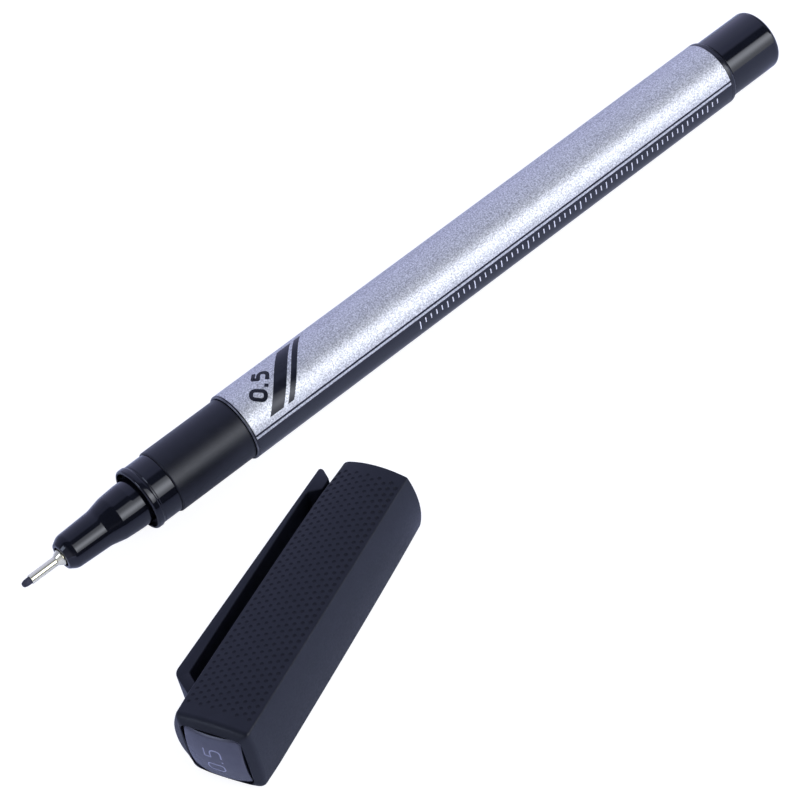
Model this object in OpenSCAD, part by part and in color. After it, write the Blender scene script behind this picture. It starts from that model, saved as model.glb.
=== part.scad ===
// Fine-line technical pen lying on a table with its square cap off beside it.
// Millimetres. +X runs along the pen from the point to the tail, +Z is up.
// The origin is under the middle of the pair, on the table.

/* [Barrel] */
// Outer diameter of the barrel over its printed film
barrel_d = 10; // [9.9:0.05:10.2]
// Length of the barrel from its front edge to the tail plug's shoulder
barrel_len = 90.1; // [88:0.1:96]
// Diameter of the bore inside the barrel
barrel_bore_d = 7.8; // [7.7:0.05:7.9]
// Thickness of the printed film wrapped round the barrel
film_t = 0.1; // [0.08:0.01:0.14]
// Bare rim in front of the film
front_rim = 0.5; // [0.3:0.05:1]
// Bare band behind the film
rear_band = 1.05; // [0.6:0.05:2]

/* [Grip and front section] */
// Diameter of the grip sleeve
grip_d = 9.28; // [9.2:0.02:9.4]
// Length of the grip sleeve
grip_len = 12.45; // [11:0.05:14]
// Diameter of the snap ring in front of the grip
ring_d = 8.84; // [8.7:0.02:9]
// Length of the snap ring
ring_len = 2.95; // [2.5:0.05:3.5]
// Diameter of the rounded lip in front of the ring
lip_d = 9.14; // [9:0.02:9.2]
// Length of the lip
lip_len = 1.15; // [1.05:0.05:1.6]

/* [Nose and point] */
// Diameter of the nose cone behind its rounded front edge
nose_front_d = 5.14; // [5:0.02:5.3]
// Diameter of the nose cone where its flare begins
nose_waist_d = 5.44; // [5.4:0.02:5.6]
// Diameter of the nose cone at its base
nose_base_d = 6.74; // [6.5:0.02:6.9]
// Length of the nose cone in front of the lip
nose_len = 12.55; // [11.5:0.05:13]
// Diameter of the metal needle tube
needle_d = 1.33; // [1.25:0.01:1.4]
// Length of the needle tube in front of its step
needle_len = 3.55; // [3:0.05:4]
// Diameter of the ferrule behind its step
ferrule_d = 2.3; // [2.2:0.05:2.4]
// Length of the ferrule's step in front of the nose cone
ferrule_step = 1.25; // [1.1:0.05:1.6]
// Diameter of the fibre nib
nib_d = 1.1; // [1:0.01:1.12]
// Length of nib that stands out of the needle tube
nib_out = 1.5; // [1:0.05:2]

/* [Tail plug] */
// Diameter of the tail plug
plug_d = 9.16; // [9.1:0.02:9.3]
// Length of the tail plug behind the barrel
plug_len = 9.3; // [8:0.1:11]
// Rounding of the tail plug's end
plug_round = 0.7; // [0.4:0.05:1]

/* [Cap] */
// Length of the cap's faces from the closed end to the mouth
cap_len = 43; // [42:0.1:45]
// Width of the cap across the middles of two opposite faces
cap_w = 10.9; // [10.8:0.02:11.1]
// Radius of each bowed face at the closed end
face_r_closed = 36; // [30:1:44]
// Radius of each bowed face at the mouth
face_r_mouth = 12.8; // [12:0.2:16]
// Length of the sloping rim round the closed end
rim_len = 0.8; // [0.7:0.05:1]
// Inset of the sloping rim
rim_inset = 1.1; // [0.9:0.05:1.2]
// Diameter of the cap's bore at the mouth
cap_bore_d = 9.52; // [9.44:0.02:9.56]
// Depth of that bore
cap_bore_len = 18; // [17.5:0.5:20]
// Width of the end plate across its flats
plate_w = 7.96; // [7.8:0.02:8.06]

/* [Clip] */
// Width of the clip
clip_w = 6.8; // [6:0.1:7]
// Thickness of the clip at its root
clip_t = 1.8; // [1.6:0.05:1.9]
// Height of the clip's outside above the cap's middle, at its root
clip_rise = 9.3; // [9:0.05:9.6]
// Height of the clip's tip above the cap's middle
clip_tip_rise = 7.95; // [7.7:0.05:8.2]

/* [Layout] */
// Place of the barrel's front edge along the table
pen_x = -31.15; // [-60:0.01:60]
// Place of the pen's axis across the table
pen_y = 20.48; // [0:0.01:60]
// Place of the cap's closed end along the table
cap_x = -65.87; // [-90:0.01:0]
// Place of the cap's closed end across the table
cap_y = -20.43; // [-60:0.01:0]
// Turn of the cap from the pen's direction
cap_turn = 22; // [0:0.5:40]

/* [Hidden] */
$fn = 96;
large_fn = 360;

// Clearances: slip between pieces pushed together, and the gap at the clip's flexing root
slip = 0.02;
flex_gap = 0.05;
past = 1;

// Stations along the pen from the barrel's front edge, forwards negative
ring_front = -grip_len - ring_len;
lip_front = ring_front - lip_len;
nose_front = lip_front - nose_len;
needle_back = nose_front - ferrule_step;
needle_front = needle_back - needle_len;
nib_tip = needle_front - nib_out;
tail_end = barrel_len + plug_len;

// Socket in front of the lip where the nose cone's base sits back in shadow
socket_r = 4.15;
socket_floor = lip_front + 1.05;
grip_seat_r = 4;
seat_r = 2.92;
seat_back = -8;
spigot_end = 8;
feed_bore_r = 2.2;

// Nose cone
nose_flare_start = lip_front - 6.35;
nose_flare_end = lip_front - 1.55;
nose_round = 0.75;
nose_steps = 10;
ferrule_back = nose_front + 7.1;
holder_r = 2;

// Ink store
store_front = 9;
store_back = 82;
store_r = 3.2;
wrap_t = 0.2;
wrap_lap = 0.4;
nib_tail = 12.8;
rib_count = 6;
rib_w = 0.8;
rib_root = 0.3;
rib_front = store_front + 3;
rib_back = store_back - 1;

// Tail plug
plug_spigot_front = 83.5;
plug_hollow_r = 2.8;
plug_wall = 1.5;

// Cap
cap_half = cap_w / 2;
liner_bore_r = 4.3;
liner_seat = 2.6;
liner_end = 21;
plate_seat = 0.35;
plate_corner = 0.7;
plate_gap = 0.29;
plate_dome_r = 15;
plate_proud = 0.7;
post_r = 1.2;
post_len = 1.6;
cone_run = 12;
rim_r = 36;

// Clip outline, along the cap from its closed end and outwards from its middle
clip_root_back = 3.75;
clip_corner = 6.45;
clip_corner_round = 0.9;
clip_inner_start = 7.15;
clip_root_front = 5.55;
clip_root_rise = 5.4;
clip_tip = 41.9;
clip_tip_round = 0.4;
clip_thin = 0.6;
clip_wedge_start = 37.6;
clip_wedge_back = 38.75;
clip_wedge_front = 40.6;
clip_wedge_rise = 5.8;
pad_rise = 5.72;
pad_inside = 5;

// Fraction from 0 to 1 that starts and ends level
function ease(t) = t * t * (3 - 2 * t);

// Points of an arc about [x, y]
function arc(x, y, r, from, to, steps) = [
    for (i = [0 : steps])
    let (turn = from + (to - from) * i / steps)
    [x + r * cos(turn), y + r * sin(turn)]
];

// Where the line from p to q stands at height y
function along(p, q, y) = p[0] + (q[0] - p[0]) * (y - p[1]) / (q[1] - p[1]);

// Solid of revolution about the X axis from points [radius, station]
module turned(points) {
    rotate([0, 90, 0]) rotate_extrude() polygon(points);
}

// Round bar along X from station a to station b
module bar(a, b, r) {
    translate([a, 0, 0]) rotate([0, 90, 0]) cylinder(h = b - a, r = r);
}

// Place of the pen, with its axis one barrel radius above the table
module pen() {
    translate([pen_x, pen_y, barrel_d / 2]) children();
}

// Place of the cap, lying on the middle of one bowed face
module cap() {
    translate([cap_x, cap_y, cap_half]) rotate([0, 0, cap_turn]) children();
}

// Tube with a shallow step for the film and ribs that hold the ink store
module barrel() {
    outer = barrel_d / 2;
    edge = 0.12;
    bore = barrel_bore_d / 2;
    core = outer - film_t;
    band = barrel_len - rear_band;
    rear_round = 0.36;
    rib_foot = store_r + wrap_t + 2 * slip;
    color([0.1, 0.1, 0.11]) pen() {
        turned([
            [bore, 0], [outer - edge, 0], [outer, edge], [outer, front_rim], [core, front_rim], [core, band],
            [outer, band], [outer, barrel_len - rear_round], [outer - rear_round, barrel_len],
            [bore, barrel_len]
        ]);
        for (i = [0 : rib_count - 1])
            rotate([i * 360 / rib_count, 0, 0])
                translate([rib_front, -rib_w / 2, rib_foot])
                    cube([rib_back - rib_front, rib_w, bore + rib_root - rib_foot]);
    }
}

// Thin printed film in the barrel's step
module label_film() {
    color([0.78, 0.78, 0.82]) pen() difference() {
        bar(front_rim + slip, barrel_len - rear_band - slip, barrel_d / 2);
        bar(0, barrel_len, barrel_d / 2 - film_t + slip / 2);
    }
}

// Glossy moulding with the lip, the snap ring, the seat of the grip and the spigot in the barrel
module front_section() {
    lip_r = lip_d / 2;
    ring_r = ring_d / 2;
    spigot_r = barrel_bore_d / 2 - slip;
    groove = 0.08;
    lip_round = 0.4;
    color([0.04, 0.04, 0.05]) pen() turned(concat(
        [[socket_r, socket_floor], [socket_r, lip_front]],
        arc(lip_r - lip_round, lip_front + lip_round, lip_round, -90, 0, 5),
        arc(lip_r - lip_round, ring_front - lip_round / 2, lip_round, 0, 40, 3),
        [
            [ring_r - groove, ring_front], [ring_r - groove, ring_front + 2 * groove],
            [ring_r, ring_front + 3 * groove], [ring_r, -grip_len - slip], [grip_seat_r, -grip_len - slip],
            [grip_seat_r, -slip], [spigot_r, -slip], [spigot_r, spigot_end], [feed_bore_r, spigot_end],
            [feed_bore_r, seat_back], [seat_r, seat_back], [seat_r, socket_floor]
        ]
    ));
}

// Satin sleeve held by the fingers
module grip_sleeve() {
    edge = 0.15;
    grip_r = grip_d / 2;
    inner = grip_seat_r + slip;
    color([0.09, 0.09, 0.1]) pen() turned([
        [inner, -grip_len], [grip_r - edge, -grip_len], [grip_r, edge - grip_len], [grip_r, -2 * slip],
        [inner, -2 * slip]
    ]);
}

// Glossy nose with a rounded front, a long waist and a flared base
module nose_cone() {
    front_r = nose_front_d / 2;
    waist_r = nose_waist_d / 2;
    base_r = nose_base_d / 2;
    bore = ferrule_d / 2 + slip;
    flare = [
        for (i = [0 : nose_steps])
        [
            waist_r + (base_r - waist_r) * ease(i / nose_steps),
            nose_flare_start + (nose_flare_end - nose_flare_start) * i / nose_steps
        ]
    ];
    color([0.04, 0.04, 0.05]) pen() turned(concat(
        [[bore, nose_front]],
        arc(front_r - nose_round, nose_front + nose_round, nose_round, -90, 0, 6),
        flare,
        [
            [base_r, socket_floor - slip], [seat_r - slip, socket_floor - slip],
            [seat_r - slip, seat_back - 2 * slip], [holder_r + slip, seat_back - 2 * slip],
            [holder_r + slip, ferrule_back + slip], [bore, ferrule_back + slip]
        ]
    ));
}

// Stepped metal tube round the nib
module ferrule() {
    needle_r = needle_d / 2;
    tube_r = ferrule_d / 2;
    bore = nib_d / 2 + slip;
    edge = 0.07;
    cone = 0.45;
    color([0.82, 0.82, 0.84]) pen() turned([
        [bore, needle_front], [needle_r - edge, needle_front], [needle_r, needle_front + edge],
        [needle_r, needle_back], [tube_r - edge, needle_back + cone], [tube_r, needle_back + cone + edge],
        [tube_r, ferrule_back], [bore, ferrule_back]
    ]);
}

// Bush that centres the nib behind the ferrule
module nib_holder() {
    bore = nib_d / 2 + slip;
    front = ferrule_back + 2 * slip;
    back = seat_back - 0.2;
    lead_in = 0.3;
    color([0.85, 0.85, 0.82]) pen() turned([
        [bore, front], [holder_r, front], [holder_r, back], [bore + lead_in, back], [bore, back - lead_in]
    ]);
}

// Fibre rod from the writing point to the ink store
module fibre_nib() {
    nib_r = nib_d / 2;
    tip_round = 0.42;
    color([0.12, 0.12, 0.14]) pen() turned(concat(
        [[0, nib_tail], [0, nib_tip]],
        arc(nib_r - tip_round, nib_tip + tip_round, tip_round, -90, 0, 6),
        [[nib_r, nib_tail]]
    ));
}

// Fibre bundle that holds the ink
module ink_reservoir() {
    color([0.16, 0.16, 0.2]) pen() difference() {
        bar(store_front, store_back, store_r);
        bar(store_front - past, nib_tail + slip, nib_d / 2 + slip);
    }
}

// Film tube round the fibre bundle
module reservoir_wrap() {
    color([0.9, 0.9, 0.92, 0.6]) pen() difference() {
        bar(store_front - wrap_lap, store_back + wrap_lap, store_r + wrap_t);
        bar(store_front - past, store_back + past, store_r + slip);
    }
}

// Hollow plug that closes the barrel and takes the cap when it is posted
module tail_plug() {
    shoulder = barrel_len + slip;
    plug_r = plug_d / 2;
    spigot_r = barrel_bore_d / 2 - slip;
    color([0.04, 0.04, 0.05]) pen() turned(concat(
        [
            [plug_hollow_r, plug_spigot_front], [spigot_r, plug_spigot_front], [spigot_r, shoulder],
            [plug_r, shoulder]
        ],
        arc(plug_r - plug_round, tail_end - plug_round, plug_round, 0, 90, 5),
        [[0, tail_end], [0, tail_end - plug_wall], [plug_hollow_r, tail_end - plug_wall]]
    ));
}

// Cone whose lowest line is one bowed face's middle, bowing more towards the mouth
module bowed_side() {
    slope = atan((face_r_closed - face_r_mouth) / cap_len);
    apex_run = cap_len + face_r_mouth / tan(slope);
    r1 = (apex_run + cone_run) * sin(slope);
    r2 = (apex_run - cap_len - past) * sin(slope);
    translate([-cone_run, 0, -cap_half])
        rotate([0, 90 + slope, 0])
            translate([-r1, 0, 0])
                cylinder(h = (cap_len + past + cone_run) * cos(slope), r1 = r1, r2 = r2, $fn = large_fn);
}

// Round bar laid along the sloping rim, so that the rim bows like the faces
module rim_side() {
    slope = atan(rim_inset / rim_len);
    translate([0, 0, -cap_half])
        rotate([0, slope - 90, 0])
            translate([rim_r, 0, -cap_len])
                cylinder(h = cap_len + 2 * cap_w, r = rim_r, $fn = large_fn);
}

// Four copies of a shape that is cut back from below, one for each face
module each_face() {
    intersection() {
        children();
        rotate([90, 0, 0]) children();
        rotate([180, 0, 0]) children();
        rotate([270, 0, 0]) children();
    }
}

// Square with round corners, across flats w, thick along X from a to b
module square_plate(a, b, w) {
    flat = w - 2 * plate_corner;
    translate([a, 0, 0]) rotate([0, 90, 0]) linear_extrude(height = b - a) {
        square([w, flat], center = true);
        square([flat, w], center = true);
        for (x = [-1, 1], y = [-1, 1])
            translate([x * flat / 2, y * flat / 2]) circle(r = plate_corner);
    }
}

// Sloping outline of the clip's root, cut between two heights
module clip_root(low, high) {
    back = [[clip_root_back, clip_root_rise], [clip_corner, clip_rise]];
    front = [[clip_root_front, clip_root_rise], [clip_inner_start, clip_rise - clip_t]];
    linear_extrude(height = clip_w, center = true) polygon([
        [along(back[0], back[1], low), low], [along(front[0], front[1], low), low],
        [along(front[0], front[1], high), high], [along(back[0], back[1], high), high]
    ]);
}

// Square cap body with bowed faces, a stepped bore and a low pad where the clip springs from
module cap_shell() {
    color([0.1, 0.1, 0.11]) cap() difference() {
        union() {
            intersection() {
                each_face() bowed_side();
                each_face() rim_side();
                translate([-rim_len, -cap_w, -cap_w]) cube([cap_len + rim_len, 2 * cap_w, 2 * cap_w]);
            }
            clip_root(pad_inside, pad_rise);
        }
        bar(cap_len - cap_bore_len, cap_len + past, cap_bore_d / 2);
        bar(liner_seat, cap_len, liner_bore_r);
        bar(-rim_len, liner_seat + past, post_r + slip);
        square_plate(-rim_len - past, plate_seat, plate_w + 2 * plate_gap);
    }
}

// Springy clip with a sloping root, a taper along it and a wedge that nearly meets the cap
module cap_clip() {
    fall = (clip_rise - clip_tip_rise) / (clip_tip - clip_corner);
    tilt = atan(fall);
    root_rise = pad_rise + flex_gap;
    back = [[clip_root_back, clip_root_rise], [clip_corner, clip_rise]];
    front = [[clip_root_front, clip_root_rise], [clip_inner_start, clip_rise - clip_t]];
    turn = atan((clip_rise - clip_root_rise) / (clip_corner - clip_root_back));
    corner_x = clip_corner + clip_corner_round * tan((turn + tilt) / 2);
    color([0.1, 0.1, 0.11]) cap() linear_extrude(height = clip_w, center = true) polygon(concat(
        [
            [along(front[0], front[1], root_rise), root_rise],
            [clip_inner_start, clip_rise - clip_t],
            [clip_wedge_start, clip_rise - clip_thin - fall * (clip_wedge_start - clip_corner)],
            [clip_wedge_back, clip_wedge_rise],
            [clip_wedge_front, clip_wedge_rise]
        ],
        arc(clip_tip - clip_tip_round, clip_tip_rise - clip_tip_round, clip_tip_round, -35, 90 - tilt, 5),
        arc(corner_x, clip_rise - clip_corner_round, clip_corner_round, 90 - tilt, 90 + turn, 5),
        [[along(back[0], back[1], root_rise), root_rise]]
    ));
}

// Soft liner that seals round the nose when the cap is on
module cap_liner() {
    outer = liner_bore_r - slip;
    seal_r = 2.72;
    seal_start = 14;
    needle_room = 1.6;
    needle_room_end = 12.5;
    floor_t = 1.4;
    lead_in = 0.5;
    front = liner_seat + slip;
    color([0.75, 0.75, 0.76]) cap() turned([
        [0, front], [outer, front], [outer, liner_end - lead_in], [outer - lead_in, liner_end],
        [seal_r + lead_in, liner_end], [seal_r, liner_end - lead_in], [seal_r, seal_start],
        [needle_room, needle_room_end], [needle_room, front + floor_t], [0, front + floor_t]
    ]);
}

// Domed plate in the closed end, held by a post
module cap_end_plate() {
    front = -rim_len - plate_proud;
    color([0.3, 0.3, 0.33]) cap() {
        intersection() {
            square_plate(front, plate_seat - slip, plate_w);
            translate([front + plate_dome_r, 0, 0]) sphere(r = plate_dome_r, $fn = large_fn);
        }
        bar(plate_seat - 2 * slip, plate_seat + post_len, post_r);
    }
}

barrel();
label_film();
front_section();
grip_sleeve();
nose_cone();
ferrule();
nib_holder();
fibre_nib();
ink_reservoir();
reservoir_wrap();
tail_plug();
cap_shell();
cap_clip();
cap_liner();
cap_end_plate();
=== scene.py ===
"""Looks of a fine-line technical pen lying beside its cap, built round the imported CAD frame."""

import math

import bmesh
import bpy
from mathutils import Matrix, Vector


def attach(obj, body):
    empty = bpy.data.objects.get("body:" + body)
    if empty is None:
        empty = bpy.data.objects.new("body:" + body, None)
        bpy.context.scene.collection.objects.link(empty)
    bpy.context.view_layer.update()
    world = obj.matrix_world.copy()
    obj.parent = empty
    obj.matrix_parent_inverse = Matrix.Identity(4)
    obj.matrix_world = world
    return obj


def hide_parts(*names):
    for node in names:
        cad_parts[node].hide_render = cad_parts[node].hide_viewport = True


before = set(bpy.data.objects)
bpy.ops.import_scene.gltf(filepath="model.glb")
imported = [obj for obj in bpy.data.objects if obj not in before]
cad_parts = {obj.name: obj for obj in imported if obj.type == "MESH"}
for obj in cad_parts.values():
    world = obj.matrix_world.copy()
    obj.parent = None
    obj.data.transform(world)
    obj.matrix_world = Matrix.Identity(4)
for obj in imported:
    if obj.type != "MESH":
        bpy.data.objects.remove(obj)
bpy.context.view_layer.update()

MM = 0.001

# Pen: places along its axis are millimetres from the barrel's front edge, forwards negative
PEN_START = Vector((-31.15, 20.48, 5.0))
BARREL_R = 5.0
RIM_R = 4.996
BARREL_LEN = 90.1
BORE_R = 3.9
FILM_FRONT = 0.5
FILM_EDGE = 0.38
FILM_BACK = 89.05
FILM_T = 0.1
FILM_R = BARREL_R - 0.012
GRIP_LEN = 12.45
GRIP_R = 4.64
GRIP_BORE_R = 4.02
RING_R = 4.42
RING_FRONT = -15.4
LIP_FRONT = -16.55
LIP_R = 4.57
NOSE_FRONT = -29.1
NEEDLE_BACK = -30.35
NEEDLE_FRONT = -34.12
NIB_TIP = -35.4
TAIL_END = 99.4
PLUG_R = 4.58
PLUG_FRONT = 83.5
PLUG_BORE_R = 2.8
SOCKET_DEPTH = 1.05
SOCKET_R = 4.15
SPIGOT_END = 8.0
SPIGOT_BORE_R = 2.2
NOSE_TAIL = -8.0
NOSE_TAIL_R = 2.9
NOSE_BASE_R = 3.37
NOSE_BORE_R = 2.02
FERRULE_BACK = -22.0
FERRULE_R = 1.15
NEEDLE_R = 0.65
NEEDLE_BORE_R = 0.53
NIB_R = 0.51
NIB_BACK = 12.8
HAIR = 0.02

# Cap: places along its axis are millimetres from its closed end towards its mouth
CAP_START = Vector((-65.87, -20.43, 5.45))
CAP_TURN = math.radians(22)
CAP_LEN = 43.0
CAP_HALF = 5.45
FACE_R_CLOSED = 36.0
FACE_R_MOUTH = 12.8
RIM_LEN = 0.7
RIM_INSET = 0.98
CAP_BORE_R = 4.76
CAP_BORE_END = 25.0
LINER_BORE_R = 4.3
LINER_SEAT = 2.6
POST_HOLE_R = 1.22
PLATE_SEAT = 0.35
RECESS_HALF = 4.26
RECESS_CORNER = 0.95
PLATE_FRONT = -1.5
PLATE_DOME = 15.0
PLATE_HALF = 4.02
PLATE_CORNER = 0.72
PLATE_CHAMFER = 0.3
PLATE_EDGE = ((0.03, 0.015), (0.06, 0.04), (0.23, 0.21), (0.27, 0.26), (PLATE_CHAMFER, 0.32))
PLATE_TILT = 0.3
PLATE_STEPS = 12
PLATE_STROKE = 0.17
PLATE_POST_R = 1.2
PLATE_POST = 1.6

# Camera that took the photograph, in millimetres and in the frame of the part
CAMERA_PLACE = Vector((-150.17, -225.31, 272.39))
CAMERA_RIGHT = Vector((0.7423484, -0.64531195, -0.18025357))
CAMERA_DOWN = Vector((-0.56486684, -0.45808934, -0.6863524))
CAMERA_LENS = 129.78
SENSOR = 36.0
IMAGE_SIDE = 800
PIXEL_SHIFT = 0.5

TURN_STEPS = 160
SHARP_ANGLE = math.radians(32)


# Meshes


def link(data, name):
    """Object of that name at the origin."""
    piece = bpy.data.objects.new(name, data)
    bpy.context.scene.collection.objects.link(piece)
    return piece


def soften(mesh, part_finishes=False):
    """Smooth shading that keeps the true corners sharp, and the borders between finishes if wanted."""
    work = bmesh.new()
    work.from_mesh(mesh)
    for face in work.faces:
        face.smooth = True
    for edge in work.edges:
        edge.smooth = len(edge.link_faces) != 2 or edge.calc_face_angle(0.0) < SHARP_ANGLE
        if part_finishes and len({face.material_index for face in edge.link_faces}) > 1:
            edge.smooth = False
    work.to_mesh(mesh)
    work.free()


def make_piece(name, points, faces, materials, face_slots=None):
    """Piece from points in metres, with doubles merged and faces pointing outwards."""
    mesh = bpy.data.meshes.new(name)
    mesh.from_pydata(points, [], faces)
    for material in materials:
        mesh.materials.append(material)
    if face_slots:
        mesh.polygons.foreach_set("material_index", face_slots)
    work = bmesh.new()
    work.from_mesh(mesh)
    bmesh.ops.remove_doubles(work, verts=work.verts, dist=1e-8)
    bmesh.ops.recalc_face_normals(work, faces=work.faces)
    work.to_mesh(mesh)
    work.free()
    soften(mesh)
    return link(mesh, name)


def rounded(corners, closed=True, support=0.06):
    """Outline from corners (x, y, fillet), with arcs at the corners and a support point beside each arc."""
    count = len(corners)
    outline = []
    for i, (x, y, fillet) in enumerate(corners):
        here = Vector((x, y))
        if fillet <= 0 or (not closed and i in (0, count - 1)):
            outline.append((x, y))
            continue
        before = Vector(corners[i - 1][:2]) - here
        after = Vector(corners[(i + 1) % count][:2]) - here
        room_before, room_after = before.length, after.length
        before.normalize()
        after.normalize()
        turn = math.pi - before.angle(after)
        reach = fillet * math.tan(turn / 2)
        centre = here + (before + after).normalized() * (fillet / math.cos(turn / 2))
        start = here + before * reach
        end = here + after * reach
        side = 1 if before.x * after.y - before.y * after.x < 0 else -1
        steps = max(3, math.ceil(turn / math.radians(15)))
        if room_before > 3 * (reach + support):
            outline.append(tuple(start + before * support))
        arm = start - centre
        for k in range(steps + 1):
            spin = side * turn * k / steps
            outline.append((
                centre.x + arm.x * math.cos(spin) - arm.y * math.sin(spin),
                centre.y + arm.x * math.sin(spin) + arm.y * math.cos(spin),
            ))
        if room_after > 3 * (reach + support):
            outline.append(tuple(end + after * support))
    return outline


def pen_point(station, radius, turn):
    """Point round the pen's axis; turn is 0 on top and grows towards the cap's side."""
    return (
        (PEN_START.x + station) * MM,
        (PEN_START.y - radius * math.sin(turn)) * MM,
        (PEN_START.z + radius * math.cos(turn)) * MM,
    )


def full_turn(steps):
    return [2 * math.pi * i / steps for i in range(steps)]


def loft(name, rows, materials, closed=True, slot_of=None):
    """Skin through rows of points, each row a loop; slot_of(row, column) gives the finish of a face."""
    count = len(rows[0])
    faces, slots = [], []
    for i in range(len(rows) if closed else len(rows) - 1):
        k = (i + 1) % len(rows)
        if rows[i][0] == rows[i][1] and rows[k][0] == rows[k][1]:
            continue
        for j in range(count):
            m = (j + 1) % count
            faces.append((i * count + j, i * count + m, k * count + m, k * count + j))
            slots.append(slot_of(i, j) if slot_of else 0)
    return make_piece(name, [point for row in rows for point in row], faces, materials, slots)


def revolved(name, corners, place, turns, materials, slot_of=None):
    """Solid of revolution from corners of (along, radius, fillet); place gives its points."""
    rows = [[place(along, radius, turn) for turn in turns] for along, radius in rounded(corners)]
    return loft(name, rows, materials, slot_of=slot_of)


def turned(name, corners, *materials):
    """Solid of revolution about the pen's axis from corners of (station, radius, fillet)."""
    return revolved(name, corners, pen_point, full_turn(TURN_STEPS), materials)


def cap_point(a, v, w):
    """Point in the cap's own frame: along it, towards its clip and up, in millimetres."""
    cos, sin = math.cos(CAP_TURN), math.sin(CAP_TURN)
    return (
        (CAP_START.x + a * cos - v * sin) * MM,
        (CAP_START.y + a * sin + v * cos) * MM,
        (CAP_START.z + w) * MM,
    )


# Node trees


class Nodes:
    """Node tree with small helpers."""

    def __init__(self, tree):
        self.nodes, self.links = tree.nodes, tree.links

    def feed(self, node, socket, value):
        """Link or plain value into an input, given by name or number."""
        if isinstance(value, bpy.types.NodeSocket):
            self.links.new(value, node.inputs[socket])
        else:
            node.inputs[socket].default_value = value

    def node(self, kind, inputs=None, **settings):
        node = self.nodes.new(kind)
        for key, setting in settings.items():
            setattr(node, key, setting)
        for socket, value in (inputs or {}).items():
            self.feed(node, socket, value)
        return node

    def out(self, kind, inputs=None, socket=0, **settings):
        """Output of a new node."""
        return self.node(kind, inputs, **settings).outputs[socket]

    def math(self, operation, first, second=0.0):
        return self.out("ShaderNodeMath", {0: first, 1: second}, operation=operation)

    def ranged(self, value, low, high, low_out, high_out, kind="LINEAR"):
        """Value carried from one range to another and held at its ends."""
        return self.out("ShaderNodeMapRange", {
            "Value": value, "From Min": low, "From Max": high, "To Min": low_out, "To Max": high_out,
        }, interpolation_type=kind)

    def ramp(self, value, stops):
        """Colours at places from 0 to 1."""
        node = self.node("ShaderNodeValToRGB", {"Fac": value})
        spots = node.color_ramp.elements
        for i, (place, colour) in enumerate(stops):
            spot = spots[i] if i < 2 else spots.new(1.0)
            spot.position = place
            spot.color = (*colour, 1)
        return node.outputs["Color"]


# Materials

# Span of the noise that the roughness follows
NOISE_SPAN = (0.3, 0.7)


def finish(name, base, roughness, rough, tint=None, bump=None, spread=0.2, **shader):
    """Material from its mean colour and roughness; each texture is given as its noise and then its range."""
    material = bpy.data.materials.new(name)
    material.use_nodes = True
    look = Nodes(material.node_tree)
    main = look.nodes["Principled BSDF"]
    where = look.out("ShaderNodeTexCoord", socket="Object")
    shader.update(Base_Color=(*base, 1), Roughness=roughness)
    for socket, value in shader.items():
        look.feed(main, socket.replace("_", " "), value)

    def noise(grain_mm, detail=3.0, stretch=1.0):
        """Noise with grains of about that size, drawn out along the pen where stretch is small."""
        place = look.out("ShaderNodeMapping", {"Vector": where, "Scale": (stretch, 1, 1)})
        return look.out("ShaderNodeTexNoise", {
            "Vector": place, "Scale": 1 / (grain_mm * MM), "Detail": detail,
        }, socket="Fac")

    grain, low, high = rough
    look.feed(main, "Roughness", look.ranged(noise(*grain), *NOISE_SPAN, low, high))
    if tint:
        grain, dark, light = tint
        tones = ((0.5 - spread, dark), (0.5 + spread, light))
        look.feed(main, "Base Color", look.ramp(noise(*grain), tones))
    if bump:
        grain, depth_mm, strength = bump
        look.feed(main, "Normal", look.out("ShaderNodeBump", {
            "Height": noise(*grain), "Distance": depth_mm * MM, "Strength": strength,
        }))
    return material


# Polished black plastic with faint handling haze
GLOSS = finish(
    "gloss_black_plastic", (0.0045, 0.005, 0.0075), 0.06,
    tint=((3.0,), (0.004, 0.0043, 0.0065), (0.0052, 0.0056, 0.0085)),
    rough=((0.6, 4.0), 0.045, 0.085), bump=((0.9, 2.0), 0.002, 0.3),
)

# Fine-spark black plastic of the grip
GRIP = finish(
    "satin_grip_plastic", (0.0055, 0.006, 0.009), 0.38,
    tint=((1.2,), (0.0047, 0.0052, 0.0078), (0.0065, 0.007, 0.0105)),
    rough=((0.25,), 0.34, 0.42), bump=((0.09, 4.0), 0.004, 0.5), Specular_IOR_Level=0.4,
)

# Barrel tube where it shows at the rims, and a lighter colour painted on its front edge as a highlight line
BARREL = finish(
    "barrel_black_plastic", (0.007, 0.0075, 0.011), 0.25,
    tint=((1.5,), (0.006, 0.0065, 0.0095), (0.008, 0.0085, 0.0125)),
    rough=((0.4,), 0.2, 0.3), bump=((0.2,), 0.003, 0.4),
)
EDGE_HIGHLIGHT_PAINT = finish(
    "barrel_edge_painted_highlight", (0.11, 0.11, 0.125), 0.3,
    tint=((1.0,), (0.06, 0.06, 0.07), (0.16, 0.16, 0.18)), rough=((0.3,), 0.25, 0.35),
)

# Spark-eroded satin of the cap, slightly blue, and the duller floor of its dimples, painted darker as shade;
# the same dark paint is painted shade on the end plate's sides
CAP_BLACK = finish(
    "cap_satin_plastic", (0.007, 0.008, 0.0125), 0.42,
    tint=((1.6, 4.0), (0.006, 0.007, 0.011), (0.008, 0.009, 0.014)),
    rough=((0.3,), 0.37, 0.46), bump=((0.07, 4.0), 0.004, 0.45), Specular_IOR_Level=0.31,
)
PAINTED_SHADE_BLACK = finish(
    "cap_dot_painted_shade", (0.0052, 0.0058, 0.0095), 0.55,
    tint=((0.4,), (0.0045, 0.005, 0.0085), (0.006, 0.0066, 0.0105)),
    rough=((0.3,), 0.48, 0.58), Specular_IOR_Level=0.24,
)

# Metallic silver ink with fine flakes
SILVER = finish(
    "silver_print", (0.51, 0.51, 0.52), 0.44,
    tint=((0.2, 4.0), (0.32, 0.32, 0.325), (0.75, 0.75, 0.755)), spread=0.15,
    rough=((0.26, 4.0), 0.38, 0.5), bump=((0.2,), 0.014, 0.7), Metallic=0.58,
)


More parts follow.
